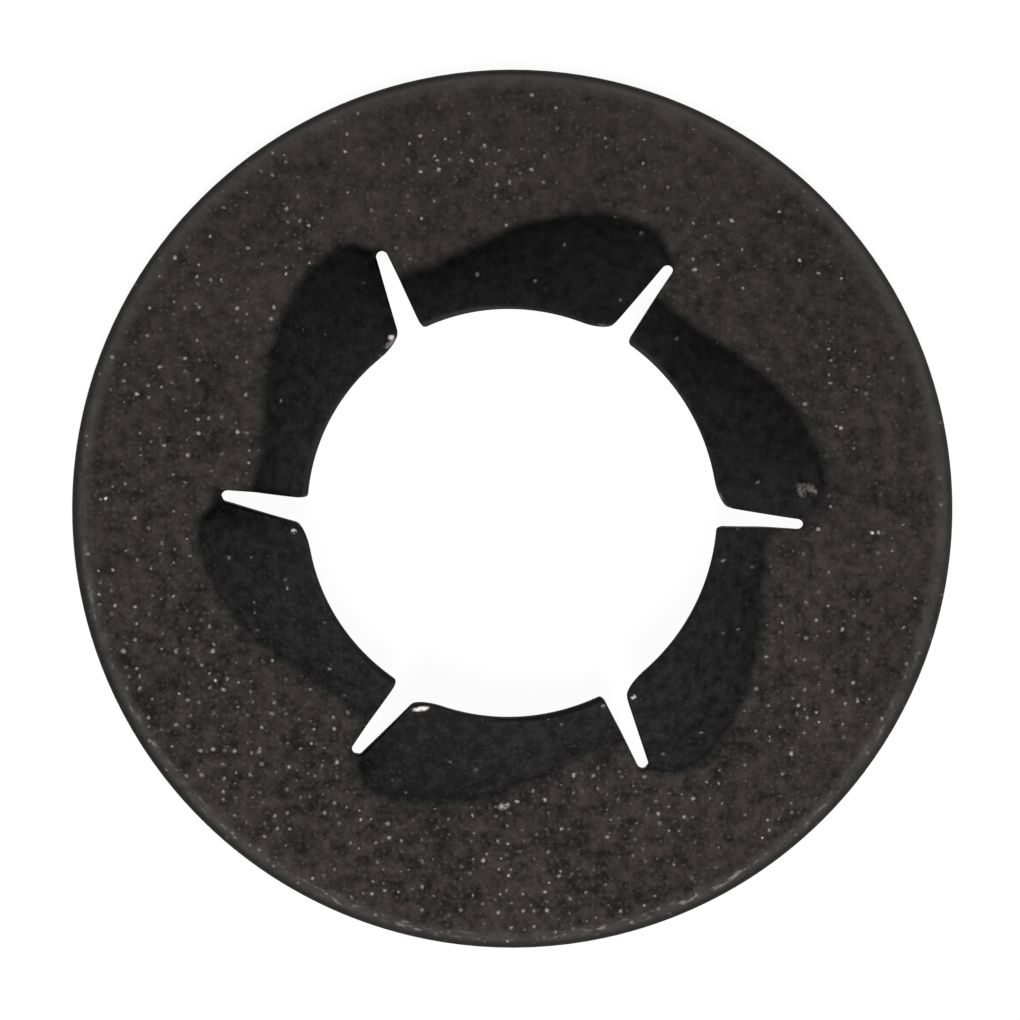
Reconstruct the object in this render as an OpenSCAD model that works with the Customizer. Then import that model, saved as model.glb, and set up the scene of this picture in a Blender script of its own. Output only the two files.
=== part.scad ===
// Push on retaining washer: a flat stamped ring of spring steel with prongs folded up around its bore.
// Each prong is folded on a skew line, so its tip climbs like a short piece of thread.
// Millimetres, Z up. The washer lies on its flat underside at Z = 0 and its bore is on the Z axis.

/* [Rim] */
// Outer diameter of the ring
outer_diameter = 12.7; // [11.4:0.1:16]
// Thickness of the sheet
sheet_thickness = 0.28; // [0.2:0.01:0.32]
// Radius of the upper rim edge, rolled over by the blanking
edge_roll = 0.12; // [0.04:0.01:0.16]

/* [Bore] */
// Diameter of the free circle between the prong tips
bore_diameter = 5.9; // [5.6:0.05:6.1]
// Depth to which the bore trims the sheared lower corner of each tip
tip_land = 0.09; // [0.07:0.01:0.11]

/* [Prongs] */
// Number of prongs around the bore
prong_count = 6; // [5:1:7]
// Direction in which the first prong starts, in degrees from +X
first_prong_angle = 116; // [0:1:360]
// Radius of the fold where a prong starts
fold_radius_low = 3.8; // [3.7:0.01:3.95]
// Radius of the fold where a prong stands highest
fold_radius_high = 4.62; // [4.4:0.01:4.9]
// Share of the prong, from its start, after which the fold moves outward
fold_swing_from = 0.12; // [0:0.02:0.3]
// Share of the prong by which the fold has moved out
fold_swing_to = 0.86; // [0.7:0.02:0.92]
// Share of the prong after which the fold turns in to the end of the slot
fold_return_from = 0.93; // [0.9:0.01:0.96]
// Inner radius of the bend along the fold
bend_radius = 0.2; // [0.15:0.01:0.25]
// Angle by which a prong curves back from its bend to its tip
crown = 20; // [8:1:24]
// Width of the flat root of a prong, in the sheet outside the fold
root_width = 0.1; // [0.06:0.01:0.14]
// Share of the prong by which its root is set back from the start edge
root_inset = 0.02; // [0.01:0.01:0.04]
// Height of the lower tip corner where a prong starts
tip_rise_low = 0.52; // [0.4:0.01:0.6]
// Height of the lower tip corner where a prong stands highest
tip_rise_high = 1.1; // [0.9:0.01:1.25]
// How slowly the tip climbs at first, where 1 is a steady climb
tip_climb_power = 1.3; // [1:0.1:1.6]
// Share of the prong after which the tip is cut back to its high corner
corner_cut_from = 0.8; // [0.7:0.01:0.9]
// Distance from the bore circle to the high corner
corner_cut_depth = 0.1; // [0.02:0.01:0.2]

/* [Slots] */
// Width of a slot at its round end
slot_end_width = 0.17; // [0.12:0.01:0.26]
// Width of a slot at the bore
slot_mouth_width = 0.35; // [0.28:0.01:0.5]
// Radius to the round end of a slot
slot_end_radius = 4.2; // [4.12:0.01:4.28]

/* [Fineness] */
// Steps along each prong
prong_steps = 18; // [10:1:24]
// Steps around each bend
bend_steps = 4; // [3:1:6]
// Steps along the crown of each prong
crown_steps = 3; // [2:1:5]
// Steps along the part of each prong where the fold turns in
return_steps = 4; // [2:1:5]
// Steps around the quarter circle of each slot end that lies in the flat sheet
slot_steps = 5; // [3:1:8]
// Distance by which a cutting body passes the faces that it cuts
cut_through = 1; // [0.5:0.5:2]

/* [Hidden] */

rim_radius = outer_diameter / 2;
bore_radius = bore_diameter / 2;
prong_pitch = 360 / prong_count;
slot_end_half = slot_end_width / 2;
slot_round_radius = slot_end_radius - slot_end_half;
outer_bend_radius = bend_radius + sheet_thickness;
section_size = 2 * (bend_steps + crown_steps + 2);

function blend(low, high, share) = low + (high - low) * share;
function limited(x) = max(0, min(1, x));
function eased(x) = let (s = limited(x)) s * s * (3 - 2 * s);
function on_circle(radius, angle) = [radius * cos(angle), radius * sin(angle)];

// Direction of the straight edge where a prong starts
function start_angle(prong) = first_prong_angle - prong * prong_pitch;

// Width of a slot at a radius: a straight taper, then half of its round end
function slot_width(radius) =
    let (taper = max(0, (slot_round_radius - radius) / (slot_round_radius - bore_radius)),
         rounding = limited((radius - slot_round_radius) / slot_end_half))
    radius < slot_round_radius ? blend(slot_end_width, slot_mouth_width, taper)
                               : slot_end_half * (1 + sqrt(1 - rounding * rounding));

// Direction at a share of the prong's sweep, from its start edge to the slot in front of its high end
function prong_angle(prong, share, radius) =
    start_angle(prong) - share * (prong_pitch - asin(slot_width(radius) / radius));

// Radius of the fold: out along the skew line, then in to the end of the slot
function fold_radius(share) =
    let (swing = eased((share - fold_swing_from) / (fold_swing_to - fold_swing_from)),
         turn = eased((share - fold_return_from) / (1 - fold_return_from)))
    blend(blend(fold_radius_low, fold_radius_high, swing), slot_end_radius, turn);

// Radius and height of the lower tip corner
function tip_radius(share) =
    blend(bore_radius - tip_land, bore_radius + corner_cut_depth,
          limited((share - corner_cut_from) / (1 - corner_cut_from)));
function tip_height(share) = blend(tip_rise_low, tip_rise_high, pow(share, tip_climb_power));

// Slope of the straight line from the end of the bend to the tip corner, over which the prong is crowned
function prong_slope(share) =
    let (run = fold_radius(share) - tip_radius(share),
         climb = tip_height(share) - outer_bend_radius)
    asin(outer_bend_radius * cos(crown / 2) / norm([run, climb])) + atan2(climb, run);

// Lower face of a prong as radius and height, around the bend and along the crown to the tip
function lower_face(share) =
    let (fold = fold_radius(share), foot = prong_slope(share) + crown / 2,
         bend_end = [fold - outer_bend_radius * sin(foot), outer_bend_radius * (1 - cos(foot))],
         crown_radius = norm([tip_radius(share), tip_height(share)] - bend_end) / (2 * sin(crown / 2)))
    concat([for (i = [0 : bend_steps])
               let (a = foot * i / bend_steps)
               [fold - outer_bend_radius * sin(a), outer_bend_radius * (1 - cos(a))]],
           [for (i = [1 : crown_steps])
               let (a = foot - crown * i / crown_steps)
               bend_end + crown_radius * [sin(a) - sin(foot), cos(a) - cos(foot)]]);

// Directions across the sheet at the points of the lower face, in degrees from upright
function leans(share) =
    let (foot = prong_slope(share) + crown / 2)
    concat([for (i = [0 : bend_steps]) foot * i / bend_steps],
           [for (i = [1 : crown_steps]) foot - crown / 2 * i / crown_steps]);

// Section of a prong: the upper face from the root to the tip, then the lower face back
function prong_section(share) =
    let (lower = lower_face(share), lean = leans(share), last = len(lower) - 1,
         root = fold_radius(share) + root_width)
    concat([[root, sheet_thickness]],
           [for (j = [0 : last]) lower[j] + sheet_thickness * [sin(lean[j]), cos(lean[j])]],
           [for (j = [last : -1 : 0]) lower[j]],
           [[root, 0]]);

// Shares of the prong at which its sections stand, closer together where the fold turns in
main_steps = prong_steps - return_steps;
function step_share(i) =
    i <= main_steps ? fold_return_from * i / main_steps
                    : blend(fold_return_from, 1, (i - main_steps) / return_steps);

function prong_points(prong) =
    [for (i = [0 : prong_steps])
        let (share = step_share(i), fold = fold_radius(share))
        for (p = prong_section(share))
            let (side = p.x > fold ? max(share, root_inset) : share,
                 xy = on_circle(p.x, prong_angle(prong, side, p.x)))
            [xy.x, xy.y, p.y]];

// Faces along a prong, and across its two ends as strips from the upper to the lower face
function side_faces() =
    [for (i = [0 : prong_steps - 1], j = [0 : section_size - 1])
        let (next = (j + 1) % section_size, here = i * section_size, ahead = here + section_size)
        each [[here + j, ahead + j, ahead + next], [here + j, ahead + next, here + next]]];
function end_faces(first, forward) =
    [for (j = [0 : section_size / 2 - 2])
        let (up = first + j, low = first + section_size - 1 - j,
             a = [up, up + 1, low - 1], b = [up, low - 1, low])
        each forward ? [a, b] : [[a[2], a[1], a[0]], [b[2], b[1], b[0]]]];
prong_faces = concat(side_faces(), end_faces(0, true), end_faces(prong_steps * section_size, false));

// Line of the fold of one prong in plan
function fold_line(prong) =
    [for (i = [0 : prong_steps])
        let (share = step_share(i), fold = fold_radius(share))
        on_circle(fold, prong_angle(prong, share, fold))];

// Point in plan by its distance along the next prong's start edge and its distance from that edge
function beside_edge(prong, along, aside) =
    on_circle(along, start_angle(prong + 1)) + on_circle(aside, start_angle(prong + 1) + 90);

// Round end of the slot in front of a prong, from its outermost point to the next prong's start edge
function slot_end(prong) =
    [for (i = [1 : slot_steps])
        let (a = 90 * i / slot_steps)
        beside_edge(prong, slot_round_radius + slot_end_half * cos(a), slot_end_half * (1 - sin(a)))];

// Opening in the flat sheet: the fold lines joined by the slots
module opening() {
    polygon([for (prong = [0 : prong_count - 1]) each concat(fold_line(prong), slot_end(prong))]);
}

module rim() {
    difference() {
        rotate_extrude($fn = 180)
            union() {
                square([rim_radius - edge_roll, sheet_thickness]);
                square([rim_radius, sheet_thickness - edge_roll]);
                translate([rim_radius - edge_roll, sheet_thickness - edge_roll])
                    circle(r = edge_roll, $fn = 48);
            }
        translate([0, 0, -cut_through])
            linear_extrude(sheet_thickness + 2 * cut_through)
                opening();
    }
}

module prong(number) {
    polyhedron(prong_points(number), prong_faces, convexity = 4);
}

module retaining_washer() {
    color("DimGray")
        difference() {
            union() {
                rim();
                for (number = [0 : prong_count - 1]) prong(number);
            }
            translate([0, 0, -cut_through])
                cylinder(r = bore_radius, h = tip_rise_high + sheet_thickness + 2 * cut_through, $fn = 180);
        }
}

retaining_washer();
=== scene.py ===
"""Looks of a push on retaining washer: phosphated spring steel on a plain white floor."""

from math import cos, pi, radians, sin

import bmesh
import bpy
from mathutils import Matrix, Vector


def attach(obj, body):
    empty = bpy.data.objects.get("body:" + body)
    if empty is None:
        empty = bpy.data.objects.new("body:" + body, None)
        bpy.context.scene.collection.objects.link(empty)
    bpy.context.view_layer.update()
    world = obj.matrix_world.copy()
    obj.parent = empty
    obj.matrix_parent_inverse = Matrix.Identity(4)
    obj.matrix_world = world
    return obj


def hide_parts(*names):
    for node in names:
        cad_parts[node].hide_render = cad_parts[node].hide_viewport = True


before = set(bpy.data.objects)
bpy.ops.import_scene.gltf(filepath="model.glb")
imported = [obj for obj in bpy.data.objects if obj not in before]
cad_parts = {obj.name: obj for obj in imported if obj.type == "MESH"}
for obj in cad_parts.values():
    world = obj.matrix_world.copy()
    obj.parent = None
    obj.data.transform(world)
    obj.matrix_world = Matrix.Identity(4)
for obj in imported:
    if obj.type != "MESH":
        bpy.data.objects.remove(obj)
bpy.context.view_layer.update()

MM = 0.001

# The washer's sizes in millimetres, with its angles in radians. They are the solid's, apart from the lands
# and the rounded corners of the tips and the softer turn of the fold to the end of the slot
WASHER = {
    "Outer radius": 6.35,
    "Sheet thickness": 0.28,
    "Edge roll": 0.12,
    "Bore radius": 2.95,
    "Low tip land": 0.09,
    "High tip land": 0.12,
    "Prong pitch": radians(60),
    "First prong": radians(116),
    "Low fold": 3.8,
    "High fold": 4.62,
    "Fold swing from": 0.12,
    "Fold swing to": 0.86,
    "Fold return from": 0.9,
    "End fold": 4.34,
    "Bend radius": 0.2,
    "Crown": radians(20),
    "Low tip": 0.52,
    "High tip": 1.1,
    "Tip climb power": 1.3,
    "Low corner to": 0.025,
    "Low corner depth": 0.08,
    "High corner from": 0.86,
    "High corner depth": 0.17,
    "Slot end width": 0.17,
    "Slot mouth width": 0.35,
    "Slot end radius": 4.2,
}
PRONGS = 6

# Rows of faces from the outer edge to the tip of a prong, layers through the sheet, and the share of the
# layers that the upright land of a tip takes
ROWS = {"roll": 6, "outer": 14, "beside": 8, "inner": 5, "bend": 8, "slope": 12, "land": 2}
LAYERS = 6
LAND_LAYERS = 1 / 3

# Columns along a prong, those of them where its fold turns in, and columns around a quarter of a slot's end
COLUMNS = 48
RETURN_COLUMNS = 12
SLOT_COLUMNS = 6

# Share of the prong at which its fold turns in, and how closely columns and rows crowd
RETURN_STARTS = 0.87
CROWDING = 0.7
RETURN_CROWDING = 1.5
SLOPE_CROWDING = 1.6

# Lengths in millimetres: how far outside its fold a prong's colour starts, how far the rows outside the fold
# spread where a prong starts, the width of a broken edge, and the gap that is welded
PRONG_MARGIN = 0.08
LINE_SWING = 0.45
EDGE_BREAK = 0.016
WELD = 0.0002

# Share of a slot's round end after which its edge stays sharp, where it runs out along the next prong
SHARP_FROM = 0.85

# Distance, as a share of a block, within which a point lies on the block's side
NEAR = 0.0001


class Wire:
    """An output socket of a node tree. Arithmetic on wires adds Math nodes."""

    def __init__(self, socket):
        self.socket = socket
        self.tree = socket.id_data

    @staticmethod
    def node(tree, kind, settings=None, sockets=None, output=0):
        """Adds a node, sets its settings, then its sockets, and gives the wire of one output."""
        made = tree.nodes.new(kind)
        for name, value in (settings or {}).items():
            setattr(made, name, value)
        for name, value in (sockets or {}).items():
            if isinstance(value, Wire):
                tree.links.new(value.socket, made.inputs[name])
            else:
                made.inputs[name].default_value = value
        return Wire(made.outputs[output]) if len(made.outputs) else made

    def other(self, output):
        """Another output of the same node."""
        return Wire(self.socket.node.outputs[output])

    def maths(self, operation, *values, clamp=False):
        settings = {"operation": operation, "use_clamp": clamp}
        return Wire.node(self.tree, "ShaderNodeMath", settings, dict(enumerate((self, *values))))

    def __add__(self, value):
        return self.maths("ADD", value)

    __radd__ = __add__

    def __sub__(self, value):
        return self.maths("SUBTRACT", value)

    def __rsub__(self, value):
        return (self * -1) + value

    def __mul__(self, value):
        return self.maths("MULTIPLY", value)

    __rmul__ = __mul__

    def __truediv__(self, value):
        return self.maths("DIVIDE", value)

    def __pow__(self, value):
        return self.maths("POWER", value)

    def __lt__(self, value):
        return self.maths("LESS_THAN", value)

    def __gt__(self, value):
        return self.maths("GREATER_THAN", value)

    def least(self, value):
        return self.maths("MINIMUM", value)

    def most(self, value):
        return self.maths("MAXIMUM", value)

    def limited(self):
        return self.maths("ADD", 0.0, clamp=True)

    def eased(self):
        share = self.limited()
        return share * share * (3 - 2 * share)

    def sine(self):
        return self.maths("SINE")

    def cosine(self):
        return self.maths("COSINE")

    def tangent(self):
        return self.maths("TANGENT")

    def arcsine(self):
        return self.maths("ARCSINE")

    def arctangent(self, value):
        """Angle of the point that lies this far up and the given value across."""
        return self.maths("ARCTAN2", value)

    def root(self):
        return self.maths("SQRT")


def blend(low, high, share):
    return low + (high - low) * share


def between(value, low, high):
    """Share of the way from low to high, eased at both ends."""
    return ((value - low) / (high - low)).eased()


# Form of the washer

def washer_form():
    """Node tree that folds one sector of the sheet into its prong and repeats it around the bore."""
    tree = bpy.data.node_groups.new("washer_form", "GeometryNodeTree")
    for name in WASHER:
        tree.interface.new_socket(name=name, in_out="INPUT", socket_type="NodeSocketFloat")
    tree.interface.new_socket(name="Finish", in_out="INPUT", socket_type="NodeSocketMaterial")
    tree.interface.new_socket(name="Washer", in_out="OUTPUT", socket_type="NodeSocketGeometry")
    entry = tree.nodes.new("NodeGroupInput")
    size = {socket.name: Wire(socket) for socket in entry.outputs if socket.name}

    def add(kind, settings=None, sockets=None, output=0):
        return Wire.node(tree, kind, settings, sockets, output)

    # Each block starts as a cube of side 1, and a point's place in it says where the point goes
    across = add("ShaderNodeSeparateXYZ", sockets={"Vector": add("GeometryNodeInputPosition")})
    along, through = across.other(1) + 0.5, across.other(2) + 0.5
    across = across + 0.5
    slot_side, start_side = across > 1 - NEAR, across < NEAR
    tip_side, rim_side = along > 1 - NEAR, along < NEAR
    skin = (through > 1 - NEAR) + (through < NEAR)

    thickness, bore, rim = size["Sheet thickness"], size["Bore radius"], size["Outer radius"]
    outer_bend = size["Bend radius"] + thickness
    slot_half = size["Slot end width"] / 2
    slot_round = size["Slot end radius"] - slot_half
    sheet_rows = {name: ROWS[name] for name in ("roll", "outer", "beside")}

    def row_shares(rows):
        """Row of a point, and how far it is across each band of rows, from the outer edge inwards."""
        row, start, shares = along * sum(rows.values()), 0, {}
        for name, count in rows.items():
            shares[name] = ((row - start) / count).limited()
            start += count
        return row, shares

    def flat_rows(shares, outer_line, inner_line):
        """Radius in the flat sheet, and height of its upper face, from the rolled edge to an inner line."""
        turn = shares["roll"] * (pi / 2)
        radius = rim - size["Edge roll"] * (1 - turn.cosine())
        radius = radius - shares["outer"] * (rim - size["Edge roll"] - outer_line)
        radius = radius - shares["beside"] * (outer_line - inner_line)
        return radius, thickness - size["Edge roll"] * (1 - turn.sine())

    def block(columns, rows):
        return add("GeometryNodeMeshCube", sockets={
            "Size": (1, 1, 1), "Vertices X": columns + 1, "Vertices Y": sum(rows.values()) + 1,
            "Vertices Z": LAYERS + 1})

    def opened(mesh, where):
        return add("GeometryNodeDeleteGeometry", {"domain": "FACE"}, {"Geometry": mesh, "Selection": where})

    def marked(mesh, name, value, domain="POINT"):
        return add("GeometryNodeStoreNamedAttribute", {"data_type": "FLOAT", "domain": domain},
                   {"Geometry": mesh, "Name": name, "Value": value})

    def dressed(mesh, broken, sheared, up_prong):
        """Marks what the broken edges and the finish need to know."""
        mesh = marked(mesh, "bevel_weight_edge", broken * EDGE_BREAK, "EDGE")
        mesh = marked(mesh, "sheared", sheared, "FACE")
        mesh = marked(mesh, "up_prong", up_prong)
        return marked(mesh, "in_sheet", through)

    def placed(mesh, radius, angle, height):
        place = add("ShaderNodeCombineXYZ", sockets={
            0: radius * angle.cosine() * MM, 1: radius * angle.sine() * MM, 2: height * MM})
        return add("GeometryNodeSetPosition", sockets={"Geometry": mesh, "Position": place})

    def prong_line(share):
        """Fold, slope at the foot, and radius of the crown of a prong at a share of its sweep."""
        fold = blend(size["Low fold"], size["High fold"],
                     between(share, size["Fold swing from"], size["Fold swing to"]))
        fold = blend(fold, size["End fold"], between(share, size["Fold return from"], 1))
        tip_radius = bore - blend(size["Low tip land"], size["High tip land"], share)
        tip_height = blend(size["Low tip"], size["High tip"], share ** size["Tip climb power"])
        run, climb = fold - tip_radius, tip_height - outer_bend
        reach = run * run + climb * climb
        pull = outer_bend * (size["Crown"] / 2).cosine()
        slope = (pull / reach.root()).arcsine() + climb.arctangent(run)
        chord = (reach - pull * pull).root() - outer_bend * (size["Crown"] / 2).sine()
        return fold, slope + size["Crown"] / 2, chord / (2 * (size["Crown"] / 2).sine())

    # One sector: the flat sheet, its fold, and the prong up to the tip
    row, shares = row_shares(ROWS)
    shares["slope"] = shares["slope"] ** SLOPE_CROWDING
    main = 1 - RETURN_COLUMNS / COLUMNS
    share = (across / main).limited()
    share = (share - CROWDING / (2 * pi) * (share * (2 * pi)).sine()) * RETURN_STARTS
    last = ((across - main) / (1 - main)).limited()
    share = share + (1 - (1 - last) ** RETURN_CROWDING) * (1 - RETURN_STARTS)
    fold, foot, crown = prong_line(share)

    def corner(nearness, depth):
        """How far a rounded corner takes back the tip, from none of its depth to all of it."""
        near = nearness.limited()
        return (1 - (1 - near * near).root()) * depth

    def climbed(radius):
        """Share of the crown at which the lower face reaches a radius."""
        run = fold - outer_bend * foot.sine() - radius
        return (foot - (foot.sine() - run / crown).arcsine()) / size["Crown"]

    high_corner = (share - size["High corner from"]) / (1 - size["High corner from"])
    tip_line = bore + corner(1 - share / size["Low corner to"], size["Low corner depth"])
    tip_line = tip_line + corner(high_corner, size["High corner depth"])
    land = blend(size["Low tip land"], size["High tip land"], share)
    cut, end = climbed(tip_line), climbed(tip_line - land)
    land = land / (foot - size["Crown"] * end / 2).sine() / thickness
    layer = (through / LAND_LAYERS).limited() * land
    layer = layer + ((through - LAND_LAYERS) / (1 - LAND_LAYERS)).limited() * (1 - land)
    layer = blend(through, layer, shares["slope"])

    # The rows beside the fold run into the bend where it turns in, as those of the strip do
    outer_line = fold + (slot_round - size["Low fold"] + LINE_SWING) * (1 - share)
    into_bend = (size["End fold"] - size["Slot end radius"]) * between(share, size["Fold return from"], 1)
    inner_line = outer_line - LINE_SWING * (1 - share) - into_bend
    flat, upper = flat_rows(shares, outer_line, inner_line)
    flat = flat - shares["inner"] * (inner_line - fold).most(0)
    turn = ((fold - flat).most(0) / (outer_bend - through * thickness)).arcsine()
    turn = blend(turn, foot, shares["bend"])
    back = size["Crown"] * (cut * shares["slope"] + (end - cut) * shares["land"])
    lean = turn - back / 2
    radius = flat.most(fold) - outer_bend * turn.sine() - crown * (foot.sine() - (foot - back).sine())
    radius = (radius + layer * thickness * lean.sine()).most(tip_line)
    height = outer_bend * (1 - turn.cosine()) + crown * ((foot - back).cosine() - foot.cosine())
    height = height + layer * upper * lean.cosine()

    rounding = ((radius - slot_round) / slot_half).limited()
    taper = ((slot_round - radius) / (slot_round - bore)).most(0)
    slot = slot_half * (1 + (1 - rounding * rounding).root())
    slot = slot + taper * (size["Slot mouth width"] - size["Slot end width"])
    angle = size["First prong"] - share * (size["Prong pitch"] - (slot / radius).arcsine())

    start_edge = start_side * (row > sum(sheet_rows.values()))
    slot_edge = slot_side * (radius < size["Slot end radius"])
    broken = skin * (start_edge + slot_edge + tip_side + rim_side).limited()
    broken = broken.most(tip_side * (start_side + slot_side) * (1 - skin))
    sheared = (slot_side + start_side + tip_side + rim_side).limited()
    sector = opened(block(COLUMNS, ROWS), start_side - start_edge + slot_side - slot_edge)
    sector = dressed(sector, broken, sheared, (fold + PRONG_MARGIN - radius).most(0))
    sector = marked(sector, "along_prong", share)
    sector = placed(sector, radius, angle, height)

    # The strip from the round end of a slot out to the edge, which ramps down from the prong's high end
    _, shares = row_shares(sheet_rows)
    whole = add("ShaderNodeValue")
    whole.socket.default_value = 1
    fold, foot, _ = prong_line(whole)
    swing = across * (pi / 2)
    radius, upper = flat_rows(shares, blend(fold, slot_round + LINE_SWING, across),
                              slot_round + slot_half * swing.cosine())
    angle = size["First prong"] - size["Prong pitch"] + (slot_half * (1 - swing.sine()) / radius).arcsine()
    bend = blend(outer_bend, size["Bend radius"], through)
    inside = (fold - radius).most(0)
    turn = (inside / bend).least(foot.sine()).arcsine()
    rise = bend * (1 - turn.cosine()) + (inside - bend * turn.sine()) * foot.tangent()
    broken = skin * (tip_side * (across < SHARP_FROM) + rim_side)
    up_prong = (fold + PRONG_MARGIN - radius).most(0) * (1 - across)
    strip = opened(block(SLOT_COLUMNS, sheet_rows), start_side + slot_side)
    strip = dressed(strip, broken, tip_side + rim_side, up_prong)
    strip = placed(strip, radius, angle, through * upper + rise * (1 - across.eased()))

    # Both repeated around the bore and welded
    pair = tree.nodes.new("GeometryNodeJoinGeometry")
    for mesh in (sector, strip):
        tree.links.new(mesh.socket, pair.inputs[0])
    turn = add("ShaderNodeCombineXYZ", sockets={2: add("GeometryNodeInputIndex") * size["Prong pitch"]})
    ring = add("GeometryNodeInstanceOnPoints", sockets={
        "Points": add("GeometryNodeMeshLine", sockets={"Count": PRONGS, "Offset": (0, 0, 0)}),
        "Instance": Wire(pair.outputs[0]), "Rotation": turn})
    ring = add("GeometryNodeRealizeInstances", sockets={"Geometry": ring})
    ring = add("GeometryNodeMergeByDistance", sockets={"Geometry": ring, "Distance": WELD * MM})
    ring = add("GeometryNodeSetMaterial", sockets={"Geometry": ring, "Material": size["Finish"]})
    add("NodeGroupOutput", sockets={0: ring})
    return tree


def folded_washer(finish):
    """The washer as a plain mesh, with its faces outwards and its sheared edges broken."""
    seed = bpy.data.objects.new("washer_seed", bpy.data.meshes.new("washer_seed"))
    bpy.context.scene.collection.objects.link(seed)
    form = seed.modifiers.new("form", "NODES")
    form.node_group = washer_form()
    for item in form.node_group.interface.items_tree:
        if item.in_out == "INPUT":
            form[item.identifier] = finish if item.name == "Finish" else WASHER[item.name]
    folded = seed.evaluated_get(bpy.context.evaluated_depsgraph_get())
    mesh = bpy.data.meshes.new_from_object(folded)
    bpy.data.objects.remove(seed)
    mesh.name = "washer"
    faces = bmesh.new()
    faces.from_mesh(mesh)
    bmesh.ops.dissolve_degenerate(faces, dist=WELD * MM, edges=faces.edges)
    bmesh.ops.recalc_face_normals(faces, faces=faces.faces)
    faces.to_mesh(mesh)
    faces.free()
    mesh.shade_smooth()
    washer = bpy.data.objects.new("washer", mesh)
    bpy.context.scene.collection.objects.link(washer)

    # The weight of an edge is its width in millimetres
    edges = washer.modifiers.new("broken_edges", "BEVEL")
    edges.limit_method = "WEIGHT"
    edges.width = 1 * MM
    edges.segments = 2
    edges.use_clamp_overlap = False
    return washer


# Finish of the washer

# Patterns of the coat: features per millimetre, detail, roughness
PATTERNS = {
    "clumps": (5.5, 4, 0.62),
    "grains": (16.0, 4, 0.7),
    "clouds": (0.6, 2, 0.5),
    "crowds": (1.3, 2, 0.5),
    "highlight_and_rub_patches": (2.2, 3, 0.5),
    "fray": (14.0, 3, 0.6),
}

# How far a pattern shades the coat or moves its crystals together
CLUMP_DEPTH = 2.3
GRAIN_DEPTH = 1.15
CLOUD_DEPTH = 0.5
CROWD_DEPTH = 1.8

# Shade of the coat between its darkest and its palest colour, and its painted fall along a prong, a painted
# shade that darkens each prong towards its high end
MEAN_SHADE = 0.43
PRONG_SHADE_FALL = 0.1
# The prongs' colours are darker than the rim's partly for their colder coat and partly as painted shade, in
# place of the sheen that the lamp gives the flat rim
RIM_COAT = (0.0085, 0.0069, 0.0067, 1), (0.0546, 0.0452, 0.0446, 1)
PRONG_COAT_AND_SHADE = (0.0058, 0.0054, 0.0057, 1), (0.0255, 0.0242, 0.0248, 1)

# Distance inside its margin, in millimetres, over which a prong takes its own colour
PRONG_BLEND = (0.0, 0.22)

# Strengths over the washer: on the bore axis, and their change per millimetre to the right and to the back
MOTTLING = (1.0, 0.0, -0.04)
# Painted light: the prongs are painted paler towards the right and the back, in place of how the lamps light
# them
PRONG_PAINTED_LIGHT = (0.0, 0.012, 0.028)
# Painted glints: they crowd towards the left and the front, where the lamp makes the crystals glint
CROWDING_OF_GLINTS = (0.52, -0.03, -0.068)
# Painted highlight: the rolled edge is painted paler towards the front, where it faces the lamp, and its lip
# paler towards the back
ROLL_RUB_AND_HIGHLIGHT = (0.58, 0.0, -0.015)
LIP_PAINTED_LIGHT = (0.12, 0.015, 0.07)
# Painted glints along the rolled edge grow towards the front and the left, where it faces the lamp
EDGE_GLINT_STRENGTH = (0.08, -0.01, -0.09)
# The outermost edge is darker, most towards the front and the left
EDGE_DARKENING = (0.62, -0.025, -0.085)

# Pale crystals of the coat, painted as glints: cells per millimetre, least and largest radius in cells, share
# of cells, least and largest brightness, how evenly they lie, and how far their number and brightness fall on
# the prongs, which glint less
PAINTED_GLINTS = (
    (10.0, 0.26, 0.5, 0.5, 0.04, 0.069, 0.3, 0.0, 0.55),
    (5.6, 0.15, 0.28, 0.36, 0.11, 0.44, 0.0, 0.8, 0.3),
    (1.9, 0.05, 0.08, 0.05, 0.4, 0.9, 0.0, 0.85, 0.3),
)

# Where the painted glints crowd: the share of cells at most, and how far their number can fall along a prong
MOST_GLINTS = 1.6
FEWEST_GLINTS = 0.95

# How the painted glints lie: their shift with height to the right and to the back, and how far their rows are
# bent
GLINT_SHIFT = (0.2, 0.13)
GLINT_BEND_NOISE = (11.0, 1, 0.5)
GLINT_BEND_SIZE = 0.06

# How steeply a painted glint fades from its middle, how rare the bright ones are, and their green and blue
# for a red of 1
GLINT_FADE = 1.4
BRIGHT_RARITY = 1.8
GLINT_TINT = (0.945, 0.935)

# Places in the coat where painted glints crowd, in millimetres from the bore axis: x, y, radius, extra share
GLINT_CLUSTERS = (
    (-0.13, -4.26, 0.28, 1.2),
    (-0.03, 5.03, 0.5, 0.7),
    (-0.9, 4.85, 0.5, 0.6),
    (-3.0, 4.1, 0.6, 0.4),
)

# Zones of the rolled edge in millimetres from the bore axis, over which its rub, its painted highlight and
# glints, and its darker outer band come or go
ROLL_ZONE = (6.04, 6.2)
LIP_ZONE = (6.19, 6.27)
EDGE_GLINT_ZONE = (6.12, 6.18)
EDGE_GLINT_END = (6.2, 6.26)
EDGE_DARK_ZONE = (6.2, 6.31)

# How strongly the least and the most rubbed patches of the edge take its rub and painted highlight
RUB_AND_HIGHLIGHT_PATCHES = (0.3, 1.5)

# Painted glints in streaks along the edge: features per radian and per millimetre outwards, scale, detail and
# roughness of their noise, and the part of the noise that they are
EDGE_GLINTS_PER_RADIAN = 26
EDGE_GLINTS_PER_MM = 12
EDGE_GLINT_NOISE = (1.0, 3, 0.6)
EDGE_GLINT_RANGE = (0.52, 0.72)

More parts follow.
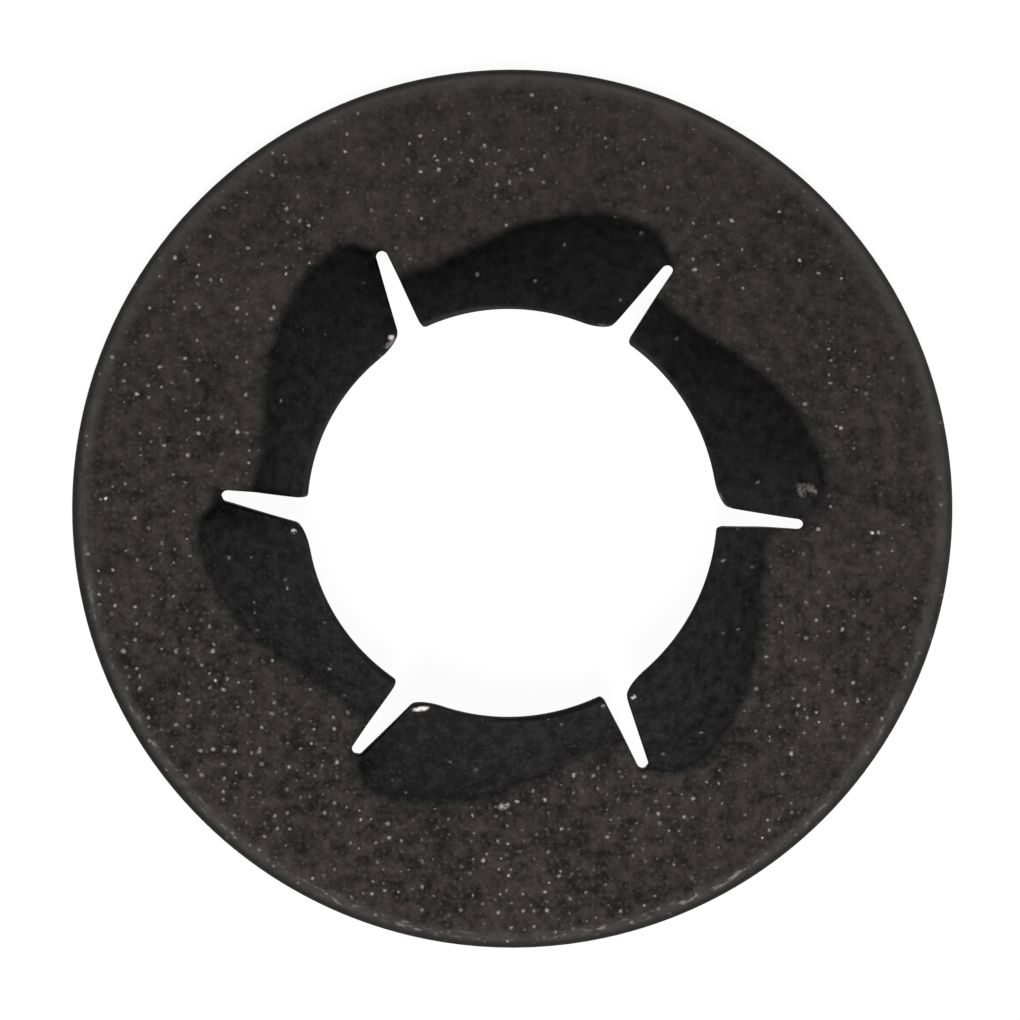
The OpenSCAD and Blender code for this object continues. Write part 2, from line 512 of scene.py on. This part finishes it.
# Colours of wear, of the painted highlight and glints on the rolled edge and of its darker outer band, and
# how much of the coat's colour they cover
RUBBED_AND_LIT_COLOUR, RUBBED_AND_LIT_COVER = (0.1, 0.093, 0.092, 1), 0.55
EDGE_GLINT_COLOUR = (0.42, 0.4, 0.395, 1)
EDGE_DARK_COLOUR, EDGE_DARK_COVER = (0.012, 0.0115, 0.012, 1), 0.9
SHEARED, SHEARED_COVER = (0.024, 0.0225, 0.022, 1), 0.6

# Worn places and painted highlights: x and y in millimetres from the bore axis, half length, half width,
# direction in degrees, and brightness
WEAR_AND_HIGHLIGHTS = (
    # Painted highlights on the tips and their high corners
    (-1.31, -2.79, 0.16, 0.05, 8, 0.9),
    (-3.14, -0.23, 0.055, 0.05, 0, 0.8),
    (-1.76, 2.47, 0.17, 0.05, 36, 0.2),
    (-1.74, 2.57, 0.06, 0.055, 36, 0.9),
    (1.74, -2.62, 0.055, 0.05, 0, 0.6),
    (1.31, -2.8, 0.045, 0.04, 0, 0.4),
    (1.34, 2.7, 0.16, 0.05, -27, 0.1),
    (3.0, 0.2, 0.16, 0.05, -80, 0.22),
    # A scuff
    (4.16, 0.31, 0.15, 0.075, -62, 0.17),
    (4.33, 0.3, 0.1, 0.08, -50, 0.24),
    (4.24, 0.36, 0.12, 0.07, -10, 0.13),
    # A cluster of painted glints
    (-0.12, -4.28, 0.11, 0.07, 20, 0.5),
    (0.07, -4.21, 0.045, 0.035, 0, 0.4),
)

# Share of a worn, highlighted or crowded place that is full, the part of the noise that frays it, the part of
# the sheet's thickness in which wear and painted highlights come up, above the land of a tip, and the steel's
# green and blue for a red of 1
FULL_PLACE = 0.3
FRAY_RANGE = (0.35, 0.58)
ABOVE_LAND = (0.3, 0.45)
WEAR_AND_HIGHLIGHT_TINT = (0.97, 0.96)

# Gloss of the coat, and its bumps in millimetres
ROUGHNESS = (0.62, 0.82)
SPECULAR = 0.12
BUMP_STRENGTH = 0.4
BUMP_HEIGHT = 0.01
GRAIN_BUMP = 0.6


def phosphated_steel():
    """A mottled phosphate coat with pale crystals, worn on the rolled edge and in single places."""
    material = bpy.data.materials.new("phosphated_steel")
    material.use_nodes = True
    tree = material.node_tree
    tree.nodes.clear()

    def add(kind, settings=None, sockets=None, output=0):
        return Wire.node(tree, kind, settings, sockets, output)

    def vector(operation, first, second=None, scale=1.0):
        sockets = {0: first, "Scale": scale} if second is None else {0: first, 1: second}
        return add("ShaderNodeVectorMath", {"operation": operation}, sockets)

    def noise(place, scale, detail, roughness, output=0):
        return add("ShaderNodeTexNoise", sockets={
            "Vector": place, "Scale": scale, "Detail": detail, "Roughness": roughness}, output=output)

    def tint(share, low, high):
        return add("ShaderNodeMix", {"data_type": "RGBA"}, {0: share, 6: low, 7: high}, 2)

    def mark(name):
        return add("ShaderNodeAttribute", {"attribute_name": name}, output=2)

    mm = vector("SCALE", add("ShaderNodeTexCoord", output=3), scale=1 / MM)
    x = add("ShaderNodeSeparateXYZ", sockets={"Vector": mm})
    y, z = x.other(1), x.other(2)
    out = (x * x + y * y).root()
    up_prong, along_prong, sheared, in_sheet = (
        mark(name) for name in ("up_prong", "along_prong", "sheared", "in_sheet"))
    pattern = {name: noise(mm, *values) for name, values in PATTERNS.items()}
    prong = between(up_prong, *PRONG_BLEND)

    def over_washer(strength):
        middle, right, back = strength
        return x * right + y * back + middle

    def coat():
        """A warm dark grey on the rim and a colder black on the prongs, with painted shade on the prongs:
        darker than the rim, darker towards their high ends, and paler to the right and the back.
        """
        mottle = (pattern["clumps"] - 0.5) * CLUMP_DEPTH + (pattern["grains"] - 0.5) * GRAIN_DEPTH
        shade = MEAN_SHADE + mottle * over_washer(MOTTLING) + (pattern["clouds"] - 0.5) * CLOUD_DEPTH
        shade = shade.limited()
        # Painted shade on the prongs: darker towards the high end, paler to the right and the back
        prong_shade = shade - along_prong * PRONG_SHADE_FALL + over_washer(PRONG_PAINTED_LIGHT)
        return tint(prong, tint(shade, *RIM_COAT), tint(prong_shade.limited(), *PRONG_COAT_AND_SHADE))

    def with_painted_glints(colour):
        """Painted glints of the coat's pale crystals lie in clumps, most of them on the rim and to the left
        and the front, where the lamp makes them glint.
        """
        right, back = GLINT_SHIFT
        lying = add("ShaderNodeCombineXYZ", sockets={0: x + z * right, 1: y + z * back})
        bends = noise(mm, *GLINT_BEND_NOISE, output=1)
        lying = vector("ADD", lying, vector("SCALE", bends, scale=GLINT_BEND_SIZE))
        crowd = over_washer(CROWDING_OF_GLINTS) + (pattern["crowds"] - 0.5) * CROWD_DEPTH
        for left, front, reach, more in GLINT_CLUSTERS:
            away = ((x - left) ** 2 + (y - front) ** 2).root()
            crowd = crowd + (1 - between(away, FULL_PLACE * reach, reach)) * more
        crowd = crowd.limited()
        for per_mm, thin, thick, share, dim, bright, even, fewer, dimmer in PAINTED_GLINTS:
            cells = add("ShaderNodeTexVoronoi", {"voronoi_dimensions": "2D"},
                        {"Vector": lying, "Scale": per_mm})
            pick = add("ShaderNodeSeparateColor", sockets={0: cells.other(1)})
            radius = blend(thin, thick, pick.other(1))
            missing = prong * blend(fewer, (fewer + FEWEST_GLINTS) / 2, along_prong)
            here = blend(crowd, 1, even) * (1 - missing)
            spot = (1 - between(cells, 0, radius)) ** GLINT_FADE * (pick < share * here * MOST_GLINTS)
            level = blend(dim, bright, pick.other(2) ** BRIGHT_RARITY) * (1 - prong * dimmer)
            green, blue = GLINT_TINT
            pale = add("ShaderNodeCombineColor", sockets={0: level, 1: level * green, 2: level * blue})
            colour = tint(spot, colour, pale)
        return colour

    def with_edge_wear_and_light(colour):
        """The rolled edge is rubbed and carries a painted highlight, painted glints along it and a darker
        outer band, and the sheared faces are even.
        """
        # Painted highlight on the rolled edge, partly rub: paler towards the front, and on its lip paler
        # towards the back
        rub_and_highlight = between(out, *ROLL_ZONE) * over_washer(ROLL_RUB_AND_HIGHLIGHT) * blend(*RUB_AND_HIGHLIGHT_PATCHES, pattern["highlight_and_rub_patches"])
        rub_and_highlight = rub_and_highlight + between(out, *LIP_ZONE) * over_washer(LIP_PAINTED_LIGHT).limited()
        colour = tint(rub_and_highlight * RUBBED_AND_LIT_COVER, colour, RUBBED_AND_LIT_COLOUR)
        # Painted glints in streaks along the rolled edge
        around = add("ShaderNodeCombineXYZ", sockets={
            0: y.arctangent(x) * EDGE_GLINTS_PER_RADIAN, 1: out * EDGE_GLINTS_PER_MM})
        edge_glint = between(noise(around, *EDGE_GLINT_NOISE), *EDGE_GLINT_RANGE)
        edge_glint = edge_glint * between(out, *EDGE_GLINT_ZONE) * (1 - between(out, *EDGE_GLINT_END))
        colour = tint(edge_glint * over_washer(EDGE_GLINT_STRENGTH).limited(), colour, EDGE_GLINT_COLOUR)
        # A darker band along the outermost edge
        edge_darkness = between(out, *EDGE_DARK_ZONE) * over_washer(EDGE_DARKENING).limited()
        colour = tint(edge_darkness * EDGE_DARK_COVER, colour, EDGE_DARK_COLOUR)
        return tint(sheared * SHEARED_COVER, colour, SHEARED)

    def with_wear_and_highlights(colour):
        """The steel shows through the coat in single places, and highlights on the tips and a cluster of
        glints are painted in the same way.
        """
        frayed = between(pattern["fray"], *FRAY_RANGE) * between(in_sheet, *ABOVE_LAND)
        green, blue = WEAR_AND_HIGHLIGHT_TINT
        for left, front, long, wide, heading, bright in WEAR_AND_HIGHLIGHTS:
            c, s = cos(radians(heading)), sin(radians(heading))
            ahead, aside = (x - left) * c + (y - front) * s, (y - front) * c - (x - left) * s
            away = ((ahead / long) ** 2 + (aside / wide) ** 2).root()
            spot = (1 - between(away, FULL_PLACE, 1.0)) * frayed
            colour = tint(spot, colour, (bright, bright * green, bright * blue, 1))
        return colour

    bump = add("ShaderNodeBump", sockets={
        "Strength": BUMP_STRENGTH, "Distance": BUMP_HEIGHT * MM,
        "Height": pattern["clumps"] + pattern["grains"] * GRAIN_BUMP})
    steel = add("ShaderNodeBsdfPrincipled", sockets={
        "Base Color": with_wear_and_highlights(with_edge_wear_and_light(with_painted_glints(coat()))),
        "Roughness": blend(*ROUGHNESS, pattern["clumps"]),
        "Specular IOR Level": SPECULAR, "Normal": bump})
    add("ShaderNodeOutputMaterial", sockets={"Surface": steel})
    return material


# Floor, light and camera

# The floor's size and its depth under the washer, in metres
FLOOR_RADIUS = 1.5
FLOOR_DEPTH = 0.01 * MM

# The floor's grey as light meets it, and its glow and grey as the camera, metal and glass see it
FLOOR_GREY = 0.7
FLOOR_GLOW = 0.96
FLOOR_SEEN_GREY = 0.07


def grey(level):
    return level, level, level, 1


def white_floor():
    """A floor that is white to the camera, keeps the washer's shadow and lights the washer as a pale grey."""
    bpy.ops.mesh.primitive_circle_add(
        vertices=64, radius=FLOOR_RADIUS, fill_type="NGON", location=(0, 0, -FLOOR_DEPTH))
    floor = bpy.context.object
    floor.name = "floor"
    material = bpy.data.materials.new("white_floor")
    material.use_nodes = True
    tree = material.node_tree
    tree.nodes.clear()

    def add(kind, settings=None, sockets=None, output=0):
        return Wire.node(tree, kind, settings, sockets, output)

    ray = add("ShaderNodeLightPath")
    seen = ray.most(ray.other("Is Glossy Ray")).most(ray.other("Is Transmission Ray"))
    plain = add("ShaderNodeBsdfDiffuse", sockets={"Color": grey(FLOOR_GREY)})
    shaded = add("ShaderNodeBsdfDiffuse", sockets={"Color": grey(FLOOR_SEEN_GREY)})
    glow = add("ShaderNodeEmission", sockets={"Color": grey(FLOOR_GLOW), "Strength": 1.0})
    white = add("ShaderNodeAddShader", sockets={0: shaded, 1: glow})
    add("ShaderNodeOutputMaterial", sockets={
        "Surface": add("ShaderNodeMixShader", sockets={0: seen, 1: plain, 2: white})})
    floor.data.materials.append(material)


def soft_lamp(name, azimuth, tilt, distance, width, level, colour):
    """A soft round lamp aimed at the washer. At level 1 it alone lights a facing white surface as white."""
    lamp = bpy.data.lights.new(name, "AREA")
    lamp.shape = "DISK"
    lamp.size = width
    lamp.energy = level * pi * pi * distance * distance
    lamp.color = colour
    holder = bpy.data.objects.new(name, lamp)
    direction = Vector((sin(tilt) * cos(azimuth), sin(tilt) * sin(azimuth), cos(tilt)))
    holder.location = direction * distance
    holder.rotation_euler = direction.to_track_quat("Z", "Y").to_euler()
    bpy.context.scene.collection.objects.link(holder)


def studio_light():
    """One warm soft lamp from the front, and a faint cool light from all around."""
    soft_lamp("front_lamp", azimuth=radians(-88), tilt=radians(31), distance=0.25, width=0.12, level=1.14,
              colour=(1, 0.985, 0.97))
    world = bpy.data.worlds.new("studio")
    world.use_nodes = True
    shade = world.node_tree.nodes["Background"]
    shade.inputs["Color"].default_value = (0.9, 0.95, 1, 1)
    shade.inputs["Strength"].default_value = 0.035
    bpy.context.scene.world = world


def camera_above():
    """Almost straight above the washer, tilted a little to its far side, as in the photograph."""
    tilt, distance, view_width = radians(4.4), 0.3, 14.715 * MM
    aim = Vector((-0.0325, -0.0066, 0.14)) * MM
    camera = bpy.data.cameras.new("camera")
    camera.sensor_width = 36
    camera.lens = camera.sensor_width * distance / view_width
    camera.clip_start = 0.01
    holder = bpy.data.objects.new("camera", camera)
    holder.location = aim + Vector((0, sin(tilt), cos(tilt))) * distance
    holder.rotation_euler = (-tilt, 0, 0)
    bpy.context.scene.collection.objects.link(holder)
    bpy.context.scene.camera = holder


bpy.context.scene.view_settings.view_transform = "Standard"
camera_above()
studio_light()
white_floor()
washer = folded_washer(phosphated_steel())
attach(washer, "root")
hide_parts("retaining_washer")
